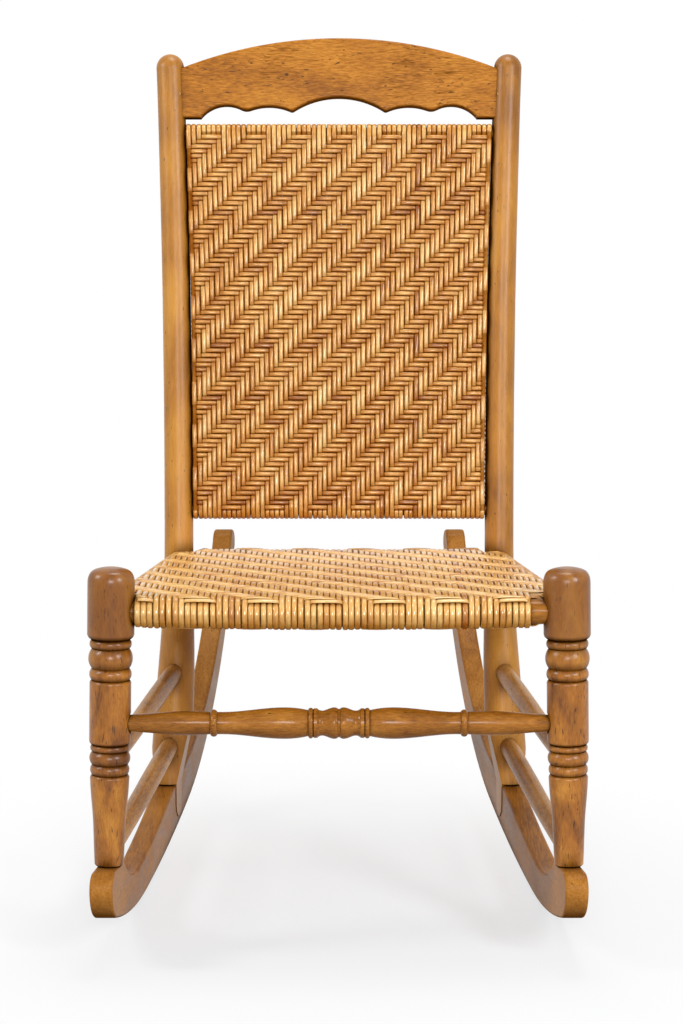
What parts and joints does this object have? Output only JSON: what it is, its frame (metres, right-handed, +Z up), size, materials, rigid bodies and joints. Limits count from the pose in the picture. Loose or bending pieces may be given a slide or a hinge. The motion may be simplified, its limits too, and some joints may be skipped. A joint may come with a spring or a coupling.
{
  "type": "rocking chair",
  "caption": "Armless wooden rocking chair with turned front legs, a woven twill seat and back panel and a scalloped crest rail, for one seated person to rock in.",
  "frame": {"origin": "on the floor, under the middle of the whole chair's bounding box", "axes": "+Z up, +Y to the back of the chair, +X to the sitter's left, which is the right-hand side of the picture"},
  "size_m": [0.5328, 0.8854, 0.8902],
  "materials": {
    "turned_hickory": "satin varnish over honey-brown stained hickory with small dark flecks",
    "sawn_board": "satin varnish over a sawn board with long grain and fine cracks",
    "rocker_board": "thin satin varnish, nearly matte on the sides",
    "cane_seat": "split bark or cane strands, sealed, slightly glossy",
    "cane_back": "split bark or cane strands, stained honey, slightly glossy",
    "brad_steel": "darkened wire brads, heads set flush"
  },
  "bodies": {
    "root": {"back_rail_lower": "turned_hickory", "back_rail_upper": "turned_hickory", "back_weave": "cane_back", "crest_pegs": "turned_hickory", "crest_rail": "sawn_board", "front_leg_left": "turned_hickory", "front_leg_right": "turned_hickory", "front_stretcher": "turned_hickory", "rear_post_left": "turned_hickory", "rear_post_right": "turned_hickory", "rear_stretcher": "turned_hickory", "rocker_brads": "brad_steel", "rocker_left": "rocker_board", "rocker_right": "rocker_board", "seat_rail_front": "turned_hickory", "seat_rail_left": "turned_hickory", "seat_rail_rear": "turned_hickory", "seat_rail_right": "turned_hickory", "seat_weave": "cane_seat", "side_stretcher_lower_left": "turned_hickory", "side_stretcher_lower_right": "turned_hickory", "side_stretcher_upper_left": "turned_hickory", "side_stretcher_upper_right": "turned_hickory"}
  },
  "joints": []
}
